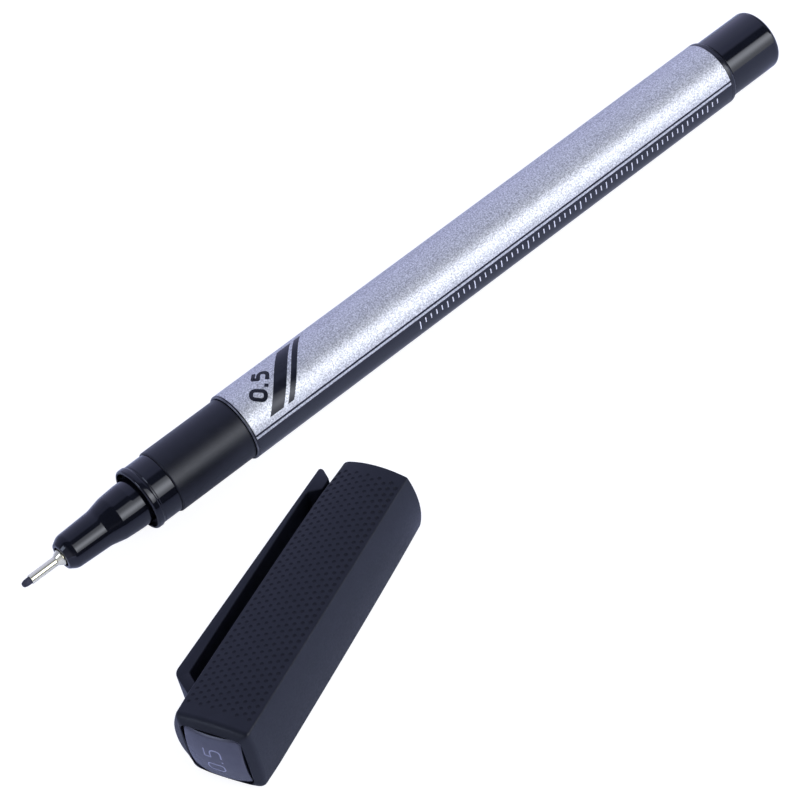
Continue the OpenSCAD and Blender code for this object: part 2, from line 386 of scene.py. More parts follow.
def black_print(name, shine):
    """Black ink of the print."""
    return finish(
        name, (0.0095, 0.010, 0.0145), 0.12,
        tint=((0.5, 4.0), (0.008, 0.0085, 0.0125), (0.011, 0.0115, 0.0165)),
        rough=((0.3,), 0.09, 0.15), bump=((0.3,), 0.002, 0.3), Specular_IOR_Level=shine,
    )


# Ink of the band and the lines, the duller ink of the bars and the number, and the white ink of the scale
BLACK_INK = black_print("black_print", 0.5)
DULL_INK = black_print("dull_black_print", 0.33)
WHITE_INK = finish(
    "white_print", (0.7, 0.7, 0.74), 0.45,
    tint=((0.3, 4.0), (0.62, 0.62, 0.67), (0.76, 0.76, 0.8)), rough=((0.2,), 0.4, 0.5),
)

# Drawn bright steel with fine lines along the tube
STEEL_LINES = (0.05, 3.0, 0.05)
STEEL = finish(
    "needle_steel", (0.96, 0.9, 0.65), 0.12, tint=((0.6,), (0.92, 0.865, 0.62), (0.99, 0.93, 0.67)),
    rough=(STEEL_LINES, 0.08, 0.16), bump=(STEEL_LINES, 0.001, 0.4), Metallic=0.88,
)

# Ink-soaked fibre with strands along the rod
STRANDS = (0.06, 4.0, 0.12)
FIBRE = finish(
    "inked_fibre", (0.02, 0.02, 0.03), 0.7, tint=(STRANDS, (0.014, 0.014, 0.022), (0.04, 0.04, 0.06)),
    rough=(STRANDS, 0.55, 0.8), bump=(STRANDS, 0.012, 0.8),
)

# Natural moulded plastic of the inner pieces, and the thin clear film round the ink store
WHITE = finish(
    "natural_white_plastic", (0.72, 0.72, 0.7), 0.45,
    tint=((2.0,), (0.68, 0.68, 0.66), (0.75, 0.75, 0.73)),
    rough=((0.4,), 0.4, 0.52), bump=((0.15,), 0.003, 0.4),
)
CLEAR = finish(
    "clear_store_film", (0.85, 0.86, 0.88), 0.15,
    rough=((1.0,), 0.1, 0.2), bump=((0.8, 2.0, 0.1), 0.01, 0.3), Transmission_Weight=0.8,
)

# Dark grey insert in the cap's closed end, and the pale ink of its number
PLATE = finish(
    "end_plate_plastic", (0.064, 0.064, 0.086), 0.26,
    tint=((1.2, 4.0), (0.058, 0.058, 0.079), (0.07, 0.07, 0.093)),
    rough=((0.3,), 0.2, 0.27), bump=((0.1, 4.0), 0.003, 0.4),
)
PALE_INK = finish(
    "pale_ink", (0.36, 0.36, 0.46), 0.45,
    tint=((0.2, 4.0), (0.3, 0.3, 0.4), (0.42, 0.42, 0.52)), rough=((0.2,), 0.4, 0.5),
)


def stand_for(piece, node, body):
    """The piece rides on its body and stands for a CAD node."""
    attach(piece, body)
    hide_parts(node)


def printed(piece, body):
    """The piece rides on its body as print, in place of no CAD node."""
    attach(piece, body)


# Pen


# Painted highlight line on the barrel's front edge: its stations, and the radius beyond which it lies
EDGE_LINE = (0.02, 0.16)
EDGE_LINE_R = 4.82


def make_barrel():
    """Tube with bare rims, a fine highlight line painted on its front edge."""
    core = BARREL_R - FILM_T
    tube = turned("barrel_tube", [
        (0, BORE_R, 0), (0, RIM_R, 0.24), (FILM_EDGE, RIM_R, 0.03), (FILM_EDGE, core, 0),
        (FILM_BACK, core, 0), (FILM_BACK, RIM_R, 0.05), (BARREL_LEN, RIM_R, 0.6),
        (BARREL_LEN, BORE_R, 0),
    ], BARREL, EDGE_HIGHLIGHT_PAINT)
    # Faces on the outer front edge carry the lighter colour, a painted highlight
    first, last = EDGE_LINE
    for face in tube.data.polygons:
        middle = face.center / MM - PEN_START
        if first < middle.x < last and math.hypot(middle.y, middle.z) > EDGE_LINE_R:
            face.material_index = 1
    return tube


# Film print, as turns round the pen in degrees: the black band and the fine lines on either side of it
LINE_START = 72.6
LINE_END = 76.1
GAP_END = 80.2
BAND_END = 172.0
WIDEST_COLUMN = 2.2


def film_slots():
    """Turns at which the film's columns start, and the print that each column carries."""
    back_gap = BAND_END + (GAP_END - LINE_END)
    back_line = back_gap + (LINE_END - LINE_START)
    borders = [LINE_START, LINE_END, GAP_END, BAND_END, back_gap, back_line, LINE_START + 360]
    inks = [1, 0, 1, 0, 1, 0]
    turns, slots = [], []
    for start, end, ink in zip(borders, borders[1:], inks):
        steps = max(1, math.ceil((end - start) / WIDEST_COLUMN))
        for k in range(steps):
            turns.append(math.radians(start + (end - start) * k / steps))
            slots.append(ink)
    return turns, slots


def make_film():
    turns, slots = film_slots()
    inner = BARREL_R - FILM_T + 0.01
    front, back = FILM_EDGE + 0.01, FILM_BACK - 0.01
    return revolved("label_film_print", [
        (front, inner, 0), (front, FILM_R, HAIR), (back, FILM_R, HAIR), (back, inner, 0),
    ], pen_point, turns, [SILVER, BLACK_INK], lambda row, column: slots[column])


def make_front_section():
    socket = LIP_FRONT + SOCKET_DEPTH
    groove_r = RING_R - 0.07
    return turned("front_section_gloss", [
        (socket, NOSE_TAIL_R + HAIR, 0), (socket, SOCKET_R, 0), (LIP_FRONT, SOCKET_R, 0.08),
        (LIP_FRONT, LIP_R, 0.36), (RING_FRONT - 0.14, LIP_R, 0.3), (RING_FRONT, groove_r, 0.05),
        (RING_FRONT + 0.16, groove_r, 0.05), (RING_FRONT + 0.24, RING_R, 0.08),
        (-GRIP_LEN - HAIR, RING_R, 0.06), (-GRIP_LEN - HAIR, GRIP_BORE_R - HAIR, 0),
        (-HAIR, GRIP_BORE_R - HAIR, 0), (-HAIR, BORE_R - HAIR, 0), (SPIGOT_END, BORE_R - HAIR, 0.2),
        (SPIGOT_END, SPIGOT_BORE_R, 0), (NOSE_TAIL, SPIGOT_BORE_R, 0), (NOSE_TAIL, NOSE_TAIL_R + HAIR, 0),
    ], GLOSS)


def make_grip():
    return turned("grip_sleeve_satin", [
        (-GRIP_LEN, GRIP_BORE_R, 0), (-GRIP_LEN, GRIP_R, 0.18), (-2 * HAIR, GRIP_R, 0.08),
        (-2 * HAIR, GRIP_BORE_R, 0),
    ], GRIP)


def make_nose():
    base = LIP_FRONT + SOCKET_DEPTH - HAIR
    tail = NOSE_TAIL - 2 * HAIR
    bore_end = FERRULE_BACK + HAIR
    return turned("nose_cone_gloss", [
        (NOSE_FRONT + 0.4, FERRULE_R + HAIR, 0), (NOSE_FRONT + 0.4, 1.4, 0.05), (NOSE_FRONT, 1.45, 0.06),
        (NOSE_FRONT, 1.86, 0.25), (NOSE_FRONT + 1.05, 2.5, 1.6), (-22.75, 2.72, 3.5), (-20.6, 3.2, 3.0),
        (-18.0, NOSE_BASE_R, 2.0), (base, NOSE_BASE_R, 0.05), (base, NOSE_TAIL_R, 0),
        (tail, NOSE_TAIL_R, 0.1), (tail, NOSE_BORE_R, 0), (bore_end, NOSE_BORE_R, 0),
        (bore_end, FERRULE_R + HAIR, 0),
    ], GLOSS)


def make_ferrule():
    return turned("ferrule_steel", [
        (NEEDLE_FRONT, NEEDLE_BORE_R, 0), (NEEDLE_FRONT, NEEDLE_R, 0.06),
        (NEEDLE_BACK + 0.35, NEEDLE_R, 0.25), (NOSE_FRONT - 0.15, 1.12, 0.12),
        (NOSE_FRONT + 0.3, FERRULE_R, 0.1), (FERRULE_BACK, FERRULE_R, 0.1), (FERRULE_BACK, NEEDLE_BORE_R, 0),
    ], STEEL)


def make_nib():
    return turned("fibre_nib_point", [
        (NIB_TIP, 0, 0), (NIB_TIP, 0.33, 0.33), (NIB_TIP + 0.5, 0.48, 0.5), (NIB_TIP + 1.0, NIB_R, 0.4),
        (NIB_BACK, NIB_R, 0), (NIB_BACK, 0, 0),
    ], FIBRE)


def make_tail_plug():
    shoulder = BARREL_LEN + HAIR
    pip = TAIL_END - 0.12
    inside = TAIL_END - 1.5
    return turned("tail_plug_gloss", [
        (PLUG_FRONT, PLUG_BORE_R, 0), (PLUG_FRONT, BORE_R - HAIR, 0.3), (shoulder, BORE_R - HAIR, 0),
        (shoulder, PLUG_R, 0.1), (TAIL_END, PLUG_R, 0.8), (TAIL_END, 1.0, 0.05), (pip, 0.9, 0.05),
        (pip, 0, 0), (inside, 0, 0), (inside, PLUG_BORE_R, 0.3),
    ], GLOSS)


# Print on the film that stands a hair above it

PRINT_STEP = 0.3


def strip_outline(path, width, closed=False):
    """Left and right sides of a stroke of that width along a flat path."""
    left, right = [], []
    count = len(path)
    for i, here in enumerate(path):
        ahead = path[(i + 1) % count] if closed or i < count - 1 else None
        behind = path[i - 1] if closed or i > 0 else None
        arms = []
        if behind is not None:
            arms.append((Vector(here) - Vector(behind)).normalized())
        if ahead is not None:
            arms.append((Vector(ahead) - Vector(here)).normalized())
        way = sum(arms, Vector((0, 0))).normalized()
        normal = Vector((-way.y, way.x))
        mitre = 1 / max(0.5, normal.dot(Vector((-arms[0].y, arms[0].x))))
        left.append(Vector(here) + normal * (width / 2 * mitre))
        right.append(Vector(here) - normal * (width / 2 * mitre))
    return left, right


def strip_faces(base, rows, closed=False):
    """Faces of a strip with four points to a row: left and right on top, right and left below."""
    faces = []
    for i in range(rows if closed else rows - 1):
        a, b = base + 4 * i, base + 4 * ((i + 1) % rows)
        for k in range(4):
            m = (k + 1) % 4
            faces.append((a + k, b + k, b + m, a + m))
    if not closed:
        end = base + 4 * (rows - 1)
        faces.append(tuple(base + k for k in range(4)))
        faces.append(tuple(end + k for k in (3, 2, 1, 0)))
    return faces


def row_of(place, left, right):
    """Four points of a strip's row; place(x, y, top) carries a flat point to the surface."""
    return place(*left, True), place(*right, True), place(*right, False), place(*left, False)


def raised_print(name, strokes, place, material, body):
    """Thin closed strips along flat strokes."""
    points, faces = [], []
    for path, width, closed in strokes:
        faces.extend(strip_faces(len(points), len(path), closed))
        for left, right in zip(*strip_outline(path, width, closed)):
            points.extend(row_of(place, left, right))
    printed(make_piece(name, points, faces, [material]), body)


def split(path):
    """Path with points added so that none lies further apart than the print's step."""
    out = [path[0]]
    for p, q in zip(path, path[1:]):
        parts = max(1, math.ceil((Vector(q) - Vector(p)).length / PRINT_STEP))
        out.extend(tuple(Vector(p).lerp(Vector(q), k / parts)) for k in range(1, parts + 1))
    return out


def digit_zero(width, height):
    """Closed rounded loop."""
    x, y, turn = width / 2, height / 2, width * 0.42
    loop = rounded([(-x, -y, turn), (x, -y, turn), (x, y, turn), (-x, y, turn)], support=0.02)
    return split(loop + [loop[0]])[:-1]


def digit_five(width, height):
    """Open stroke of a plain five."""
    x, y = width / 2, height / 2
    bowl = rounded([
        (x, y, 0), (-x, y, 0.06), (-x, 0.12 * height, 0.06), (0.1 * x, 0.14 * height, 0.4 * width),
        (x, 0.1 * height, 0.42 * width), (x, -y, 0.46 * width), (-x, -y, 0),
    ], closed=False, support=0.02)
    return split(bowl)


def on_film(x, y, top):
    """Flat print point on the film: x along the pen, y upwards round it from the top line."""
    return pen_point(x, BARREL_R if top else FILM_R - HAIR, -y / BARREL_R)


NUMBER_TURN = math.radians(46)
NUMBER_PLACE = (4.55, math.radians(-11))
NUMBER_HEIGHT = 1.95
NUMBER_STROKE = 0.56


def make_number():
    """Line width in plain figures, set along the slanted bars."""
    station, turn = NUMBER_PLACE
    centre = Vector((FILM_FRONT + station, turn * BARREL_R))
    along = Vector((math.cos(NUMBER_TURN), math.sin(NUMBER_TURN)))
    up = Vector((-along.y, along.x))

    def placed(path, shift):
        return [tuple(centre + along * (x + shift) + up * y) for x, y in path]

    zero = placed(digit_zero(1.32, NUMBER_HEIGHT), -1.62)
    five = placed(digit_five(1.25, NUMBER_HEIGHT), 1.5)
    dot = placed([(-0.26, -0.95), (0.26, -0.95)], -0.05)
    strokes = [(zero, NUMBER_STROKE, True), (five, NUMBER_STROKE, False), (dot, NUMBER_STROKE, False)]
    raised_print("size_number", strokes, on_film, DULL_INK, "pen")


# Slanted bars: the turns of their lower and upper ends, and the stations of each bar's corners there
BARS_LOW = math.radians(-62.6)
BARS_HIGH = math.radians(25.6)
BARS = ((2.9, 5.25, 10.05, 12.4), (6.0, 7.05, 13.0, 14.1))
BAR_STEPS = 24


def make_bars():
    """Two slanted bars beside the number."""
    points, faces = [], []
    for left_low, right_low, left_high, right_high in BARS:
        faces.extend(strip_faces(len(points), BAR_STEPS + 1))
        for i in range(BAR_STEPS + 1):
            t = i / BAR_STEPS
            y = (BARS_LOW + (BARS_HIGH - BARS_LOW) * t) * BARREL_R
            left = FILM_FRONT + left_low + (left_high - left_low) * t
            right = FILM_FRONT + right_low + (right_high - right_low) * t
            points.extend(row_of(on_film, (left, y), (right, y)))
    printed(make_piece("slanted_bars", points, faces, [DULL_INK]), "pen")


# Geometry Nodes


class Tree(Nodes):
    """Geometry Nodes tree with named inputs."""

    def __init__(self, name):
        self.group = bpy.data.node_groups.new(name, "GeometryNodeTree")
        super().__init__(self.group)
        self.sockets = {}
        for way in ("INPUT", "OUTPUT"):
            self.group.interface.new_socket("Geometry", in_out=way, socket_type="NodeSocketGeometry")
        self.start = self.node("NodeGroupInput")
        self.end = self.node("NodeGroupOutput")

    def value(self, name, number, kind="NodeSocketFloat"):
        """Named input with its default."""
        socket = self.group.interface.new_socket(name, in_out="INPUT", socket_type=kind)
        socket.default_value = number
        self.sockets[name] = socket.identifier
        return self.start.outputs[name]

    def vector(self, x=0.0, y=0.0, z=0.0):
        return self.out("ShaderNodeCombineXYZ", {0: x, 1: y, 2: z})

    def moved(self, geometry, **inputs):
        """Geometry with its points set or shifted."""
        return self.out("GeometryNodeSetPosition", {"Geometry": geometry, **inputs})

    def finish(self, geometry, material, selection=True):
        """Realize the instances, set the material and end the tree."""
        whole = self.out("GeometryNodeRealizeInstances", {"Geometry": geometry})
        self.feed(self.end, "Geometry", self.out("GeometryNodeSetMaterial", {
            "Geometry": whole, "Selection": selection, "Material": material,
        }))


def made_plain(piece, name):
    """The evaluated piece as a plain mesh, with its modifiers gone."""
    bpy.context.view_layer.update()
    seen = piece.evaluated_get(bpy.context.evaluated_depsgraph_get())
    mesh = bpy.data.meshes.new_from_object(seen)
    mesh.name = name
    piece.modifiers.clear()
    piece.data = mesh
    piece.name = name
    return piece


def with_tree(piece, tree, values=None):
    """Modifier with the tree's inputs set by identifier."""
    modifier = piece.modifiers.new(tree.group.name, "NODES")
    modifier.node_group = tree.group
    for name, number in (values or {}).items():
        modifier[tree.sockets[name]] = number


# Scale of plain ticks along the black band
SCALE_FIRST = 29.0
SCALE_TICKS = 58
SCALE_PITCH = 1.0
SCALE_TURN = math.radians(86)
TICK_WIDTH = 0.17
TICK_LONG = 1.5
TICK_FIFTH = 1.2
TICK_SHORT = 0.85
TICK_DEPTH = 0.03
TICK_STEPS = 6


def make_tick():
    """One tick bent to the barrel, hanging from the origin and standing above the film."""

    def bent(x, y, top):
        fall = BARREL_R - math.sqrt(BARREL_R * BARREL_R - y * y)
        return x * MM, y * MM, -(fall if top else fall + TICK_DEPTH) * MM

    points = []
    for i in range(TICK_STEPS + 1):
        y = -TICK_LONG * i / TICK_STEPS
        points.extend(row_of(bent, (-TICK_WIDTH / 2, y), (TICK_WIDTH / 2, y)))
    return make_piece("scale_tick", points, strip_faces(0, TICK_STEPS + 1), [WHITE_INK])


def make_scale():
    """Ticks a millimetre apart, every fifth and every tenth longer."""
    tree = Tree("tick_scale")
    pitch = tree.value("Pitch", SCALE_PITCH * MM)
    count = tree.value("Ticks", SCALE_TICKS, "NodeSocketInt")
    fifth = tree.value("Fifth tick", TICK_FIFTH / TICK_LONG)
    short = tree.value("Short tick", TICK_SHORT / TICK_LONG)
    start = pen_point(SCALE_FIRST, BARREL_R, SCALE_TURN)
    row = tree.out("GeometryNodeMeshLine", {
        "Count": count, "Start Location": start, "Offset": tree.vector(x=pitch),
    })
    index = tree.out("GeometryNodeInputIndex")

    def every(number):
        return tree.math("LESS_THAN", tree.math("MODULO", index, number), 0.5)

    stretch = tree.math("ADD", short, tree.math("MULTIPLY", every(5.0), tree.math("SUBTRACT", fifth, short)))
    rest = tree.math("SUBTRACT", 1.0, stretch)
    size = tree.math("ADD", stretch, tree.math("MULTIPLY", every(10.0), rest))
    ticks = tree.out("GeometryNodeInstanceOnPoints", {
        "Points": row, "Instance": tree.start.outputs["Geometry"], "Rotation": (SCALE_TURN, 0, 0),
        "Scale": tree.vector(1.0, size, tree.math("MULTIPLY", size, size)),
    })
    tree.finish(ticks, WHITE_INK)
    piece = make_tick()
    with_tree(piece, tree)
    printed(made_plain(piece, "band_scale"), "pen")


# Cap


def face_fall(a, u):
    """How far a bowed face has dropped at u from its middle, and the slope there."""
    grade = (FACE_R_CLOSED - FACE_R_MOUTH) / CAP_LEN
    squeeze = 1 - grade * grade
    radius = FACE_R_MOUTH + (CAP_LEN - min(a, CAP_LEN)) * grade
    root = math.sqrt(radius * radius - squeeze * u * u)
    return (radius - root) / squeeze, u / root


FACE_STEPS = 16
CORNER_STEPS = 7
EDGE_ROUND = 0.22

# Rounding of the edges at the rim and at the mouth, in the order of the ring: clip side above and below, far
# side below and above
RIM_ROUNDS = (0.6, 2.4, 0.7, 0.45)
RIM_ROUND_FADE = 4.0
MOUTH_ROUNDS = (1.8, 0.6, 0.35, 0.3)
MOUTH_ROUND_FADE = 7.0

# The face with the clip swells near the closed end
SWELL = 0.72
SWELL_FULLNESS = 2.5
SWELL_FULL = 0.4
SWELL_END = 3.4


def ease(t):
    """From 0 to 1, level at both ends."""
    t = min(1.0, max(0.0, t))
    return t * t * (3 - 2 * t)


def edge_rounds(a):
    """Rounding of the four edges at a."""
    rim = ease(1 - a / RIM_ROUND_FADE)
    mouth = ease(1 - (CAP_LEN - a) / MOUTH_ROUND_FADE)
    return [
        EDGE_ROUND + (at_rim - EDGE_ROUND) * rim + (at_mouth - EDGE_ROUND) * mouth
        for at_rim, at_mouth in zip(RIM_ROUNDS, MOUTH_ROUNDS)
    ]


def swell_at(a):
    """How far the middle of the clip's face stands out at a."""
    if a < 0:
        return SWELL * (1 + a / RIM_LEN)
    return SWELL * ease((SWELL_END - a) / (SWELL_END - SWELL_FULL))


def corner_of(a, half, corner):
    """Reach of a face to its rounded edge, the middle of the rounding and the lean of the face there."""

    def past_diagonal(u):
        fall, slope = face_fall(a, u)
        norm = math.hypot(1, slope)
        return (u - corner * slope / norm) - (half - fall - corner / norm)

    low, high = 0.0, half
    for _ in range(50):
        middle = (low + high) / 2
        if past_diagonal(middle) > 0:
            high = middle
        else:
            low = middle
    slope = face_fall(a, low)[1]
    return low, low - corner * slope / math.hypot(1, slope), math.atan(slope)


def across_face(i):
    """Place of a face's points from -1 to 1, closer together near its edges."""
    return math.sin(math.pi / 2 * (2 * i / FACE_STEPS - 1))


def square_ring(a, inset):
    """Section of the cap at a, its faces moved in by inset and its edges rounded."""
    half = CAP_HALF - inset
    rounds = edge_rounds(a)
    corners = [corner_of(a, half, corner) for corner in rounds]
    ring = []
    for quarter in range(4):
        behind, ahead = corners[quarter - 1][0], corners[quarter][0]
        side = []
        for i in range(FACE_STEPS + 1):
            u = (ahead - behind) / 2 + (ahead + behind) / 2 * across_face(i)
            out = half - face_fall(a, u)[0]
            if quarter == 1:
                edge = ahead if u > 0 else behind
                out += swell_at(a) * (1 - (abs(u) / edge) ** SWELL_FULLNESS)
            side.append((u, out))
        centre, lean = corners[quarter][1:]
        for i in range(1, CORNER_STEPS):
            turn = lean + (math.pi / 2 - 2 * lean) * i / CORNER_STEPS
            arm = rounds[quarter]
            side.append((centre + arm * math.sin(turn), centre + arm * math.cos(turn)))
        ring.extend(quarter_turned(side, quarter))
    return ring


def quarter_turned(side, quarter):
    """A side's points (across, out) turned to one of the four faces: top, clip, bottom, far."""
    cos, sin = math.cos(math.pi / 2 * quarter), math.sin(math.pi / 2 * quarter)
    return [(u * cos + out * sin, -u * sin + out * cos) for u, out in side]


def plain_square_ring(half, corner):
    """Square ring with straight sides and round corners, with the same points as square_ring."""
    reach = half - corner
    side = [(reach * across_face(i), half) for i in range(FACE_STEPS + 1)]
    for i in range(1, CORNER_STEPS):
        turn = math.pi / 2 * i / CORNER_STEPS
        side.append((reach + corner * math.sin(turn), reach + corner * math.cos(turn)))
    return [point for quarter in range(4) for point in quarter_turned(side, quarter)]


def round_ring(radius):
    """Circle with its points at the same turns as the mouth's section."""
    return [tuple(Vector(p).normalized() * radius) for p in square_ring(CAP_LEN, 0)]


RIM_FILLET = 1.0
MOUTH_FILLET = 0.14
RING_STEP = 2.0
SWELL_STEP = 0.4


def make_cap_blank():
    """Cap shell before its dots: outside, mouth, stepped bore and the recess for the end plate."""
    rings = []
    outside = rounded([
        (-RIM_LEN, RIM_INSET, 0), (0, 0, RIM_FILLET), (CAP_LEN, 0, MOUTH_FILLET), (CAP_LEN, 0.45, 0),
    ], closed=False)
    body = []
    for (a, inset), (b, after) in zip(outside, outside[1:]):
        parts = max(1, math.ceil((b - a) / (SWELL_STEP if a < SWELL_END else RING_STEP)))
        body.extend((a + (b - a) * k / parts, inset + (after - inset) * k / parts) for k in range(parts))
    body.append(outside[-1])
    for a, inset in body:
        rings.append((a, square_ring(a, inset)))
    inside = rounded([
        (CAP_LEN, CAP_BORE_R + 0.2, 0), (CAP_LEN, CAP_BORE_R, 0.12), (CAP_BORE_END, CAP_BORE_R, 0),
        (CAP_BORE_END, LINER_BORE_R, 0), (LINER_SEAT, LINER_BORE_R, 0), (LINER_SEAT, POST_HOLE_R, 0),
        (PLATE_SEAT, POST_HOLE_R, 0),
    ], closed=False)
    rings.extend((a, round_ring(radius)) for a, radius in inside[1:])
    recess = plain_square_ring(RECESS_HALF, RECESS_CORNER)
    rings.append((PLATE_SEAT, recess))
    rings.append((-RIM_LEN + 0.05, recess))
    rows = [[cap_point(a, v, w) for v, w in ring] for a, ring in rings]
    return loft("cap_shell_blank", rows, [CAP_BLACK])


ROOT_BACK = ((3.75, 5.4), (6.45, 9.3))
ROOT_FRONT = ((5.55, 5.4), (7.15, 7.5))
CLIP_HALF_WIDTH = 3.4
CLIP_BEVEL = 0.16
PAD_BOTTOM = 5.0
PAD_TOP = 5.72
FLEX_GAP = 0.05


def along_line(line, out):
    (a0, v0), (a1, v1) = line
    return a0 + (a1 - a0) * (out - v0) / (v1 - v0)


def extruded(name, outline, half_width, materials, bevel):
    """Flat outline (along, towards the clip) as a bar of that half width across, its edges bevelled."""
    points = [cap_point(a, v, side * half_width) for side in (-1, 1) for a, v in outline]
    count = len(outline)
    faces = [tuple(range(count)), tuple(range(2 * count - 1, count - 1, -1))]
    for i in range(count):
        k = (i + 1) % count
        faces.append((i, i + count, k + count, k))
    piece = make_piece(name, points, faces, materials)
    if bevel > 0:
        rim = piece.modifiers.new("edge_round", "BEVEL")
        rim.width = bevel * MM
        rim.segments = 3
        rim.limit_method = "ANGLE"
        rim.angle_limit = math.radians(50)
        made_plain(piece, name)
        soften(piece.data)
    return piece


def make_clip():
    """Spring clip: sloping root, one straight taper and a wedge with a round nose."""
    root = PAD_TOP + FLEX_GAP
    outline = rounded([
        (along_line(ROOT_FRONT, root), root, 0), (7.15, 7.5, 0.35), (37.6, 7.51, 0.5), (38.75, 5.8, 0.35),
        (40.6, 5.8, 0.75), (41.9, 7.4, 0.5), (41.86, 7.95, 0.3), (6.45, 9.3, 1.5),
        (along_line(ROOT_BACK, root), root, 0),
    ], support=0.15)
    return extruded("cap_clip_spring", outline, CLIP_HALF_WIDTH, [CAP_BLACK], CLIP_BEVEL)


DOT_PITCH = 1.04
DOT_ROW_GAP = 0.86
DOT_ROWS = 11
DOTS_PER_ROW = 38
DOT_START = 2.15
DOT_WIDTH = 0.54
DOT_DEPTH = 0.055
DOT_SEGMENTS = 16
DOT_RINGS = 22


def dimple_tree():
    """Staggered rows of round dimples sunk into the face that lies above or below."""
    tree = Tree("cap_dimples")
    pitch = tree.value("Pitch", DOT_PITCH * MM)
    row_gap = tree.value("Row gap", DOT_ROW_GAP * MM)
    per_row = tree.value("Dots per row", DOTS_PER_ROW, "NodeSocketInt")
    rows = tree.value("Rows", DOT_ROWS, "NodeSocketInt")
    first = tree.value("First dot", DOT_START * MM)
    width = tree.value("Dot width", DOT_WIDTH * MM)
    depth = tree.value("Dot depth", DOT_DEPTH * MM)
    side = tree.value("Side", 1.0)
    length = tree.math("MULTIPLY", pitch, tree.math("SUBTRACT", per_row, 1.0))
    breadth = tree.math("MULTIPLY", row_gap, tree.math("SUBTRACT", rows, 1.0))
    grid = tree.out("GeometryNodeMeshGrid", {
        "Size X": length, "Size Y": breadth, "Vertices X": per_row, "Vertices Y": rows,
    })
    index = tree.out("GeometryNodeInputIndex")
    odd = tree.math("MODULO", tree.math("MODULO", index, rows), 2.0)
    half_length = tree.math("MULTIPLY", length, 0.5)
    stagger = tree.math("MULTIPLY", tree.math("MULTIPLY", odd, pitch), 0.5)
    shift = tree.math("ADD", tree.math("ADD", first, half_length), stagger)
    placed = tree.out("GeometryNodeTransform", {
        "Geometry": tree.moved(grid, Offset=tree.vector(x=shift)),
        "Translation": tuple(CAP_START * MM), "Rotation": (0, 0, CAP_TURN),
    })
    above = tree.moved(placed, Offset=tree.vector(z=tree.math("MULTIPLY", side, 2 * CAP_HALF * MM)))
    blank = tree.start.outputs["Geometry"]
    ray = tree.node("GeometryNodeRaycast", {
        "Target Geometry": blank, "Ray Direction": tree.vector(z=tree.math("MULTIPLY", side, -1.0)),
        "Ray Length": 4 * CAP_HALF * MM,
    }).outputs
    landed = tree.moved(above, Selection=ray["Is Hit"], Position=ray["Hit Position"])
    half = tree.math("MULTIPLY", width, 0.5)
    chord = tree.math("ADD", tree.math("MULTIPLY", half, half), tree.math("MULTIPLY", depth, depth))
    ball = tree.math("DIVIDE", chord, tree.math("MULTIPLY", depth, 2.0))
    lift = tree.math("MULTIPLY", side, tree.math("SUBTRACT", ball, depth))
    cutter = tree.out("GeometryNodeMeshUVSphere", {
        "Segments": DOT_SEGMENTS, "Rings": DOT_RINGS, "Radius": ball,
    })
    marked = tree.out("GeometryNodeStoreNamedAttribute", {
        "Geometry": cutter, "Name": "in_dot", "Value": True,
    }, data_type="BOOLEAN", domain="FACE")
    spots = tree.out("GeometryNodeInstanceOnPoints", {
        "Points": tree.moved(landed, Offset=tree.vector(z=lift)), "Instance": marked,
    })
    cut = tree.out("GeometryNodeMeshBoolean", {
        "Mesh 1": blank, "Mesh 2": tree.out("GeometryNodeRealizeInstances", {"Geometry": spots}),
    }, operation="DIFFERENCE", solver="MANIFOLD")
    in_dot = tree.node("GeometryNodeInputNamedAttribute", {"Name": "in_dot"}, data_type="BOOLEAN")
    # The dimples' faces take the darker colour, painted shade in the hollows
    tree.finish(cut, PAINTED_SHADE_BLACK, in_dot.outputs["Attribute"])
    return tree


def make_cap_shell():
    shell = make_cap_blank()
    pad = extruded("clip_pad", rounded([
        (along_line(line, out), out, 0) for line, out in (
            (ROOT_BACK, PAD_BOTTOM), (ROOT_FRONT, PAD_BOTTOM), (ROOT_FRONT, PAD_TOP), (ROOT_BACK, PAD_TOP))
    ]), CLIP_HALF_WIDTH, [CAP_BLACK], 0)
    joined = shell.modifiers.new("pad", "BOOLEAN")
    joined.operation = "UNION"
    joined.solver = "MANIFOLD"
    joined.object = pad
    tree = dimple_tree()
    with_tree(shell, tree, {"Side": 1.0})
    with_tree(shell, tree, {"Side": -1.0})
    made_plain(shell, "cap_shell_dotted")
    bpy.data.objects.remove(pad)
    soften(shell.data, part_finishes=True)
    return shell


def plate_bulge(v, w):
    """Place of the plate's domed front along the cap."""
    return PLATE_FRONT + PLATE_DOME - math.sqrt(PLATE_DOME * PLATE_DOME - v * v - w * w)


def make_end_plate():
    """Domed insert with a chamfered edge, its sides painted dark as shade in the gap round it."""
    half, flat, corner = PLATE_HALF, PLATE_HALF - PLATE_CHAMFER, PLATE_CORNER - PLATE_CHAMFER
    inner = plain_square_ring(flat, corner)
    rings = []
    for i in range(PLATE_STEPS + 1):
        ring = [(v * i / PLATE_STEPS, w * i / PLATE_STEPS) for v, w in inner]
        rings.append([(plate_bulge(v, w), v, w) for v, w in ring])
    for grown, drop in PLATE_EDGE:
        ring = plain_square_ring(flat + grown, corner + grown)
        rings.append([
            (plate_bulge(p, q) + drop * (1 - PLATE_TILT + PLATE_TILT * w / half), v, w)
            for (v, w), (p, q) in zip(ring, inner)
        ])
    face_rings = len(rings) - 2
    back = plain_square_ring(half, PLATE_CORNER)
    post = [tuple(Vector(p).normalized() * PLATE_POST_R) for p in back]
    seat, post_end = PLATE_SEAT - HAIR, PLATE_SEAT + PLATE_POST
    for a, ring in ((seat, back), (seat, post), (post_end, post), (post_end, [(0, 0)] * len(post))):
        rings.append([(a, v, w) for v, w in ring])
    rows = [[cap_point(*point) for point in ring] for ring in rings]
    # Rows past the chamfer take the dark colour, painted shade on the plate's sides
    return loft("end_plate_domed", rows, [PLATE, PAINTED_SHADE_BLACK], closed=False,
                slot_of=lambda row, column: 0 if row < face_rings else 1)


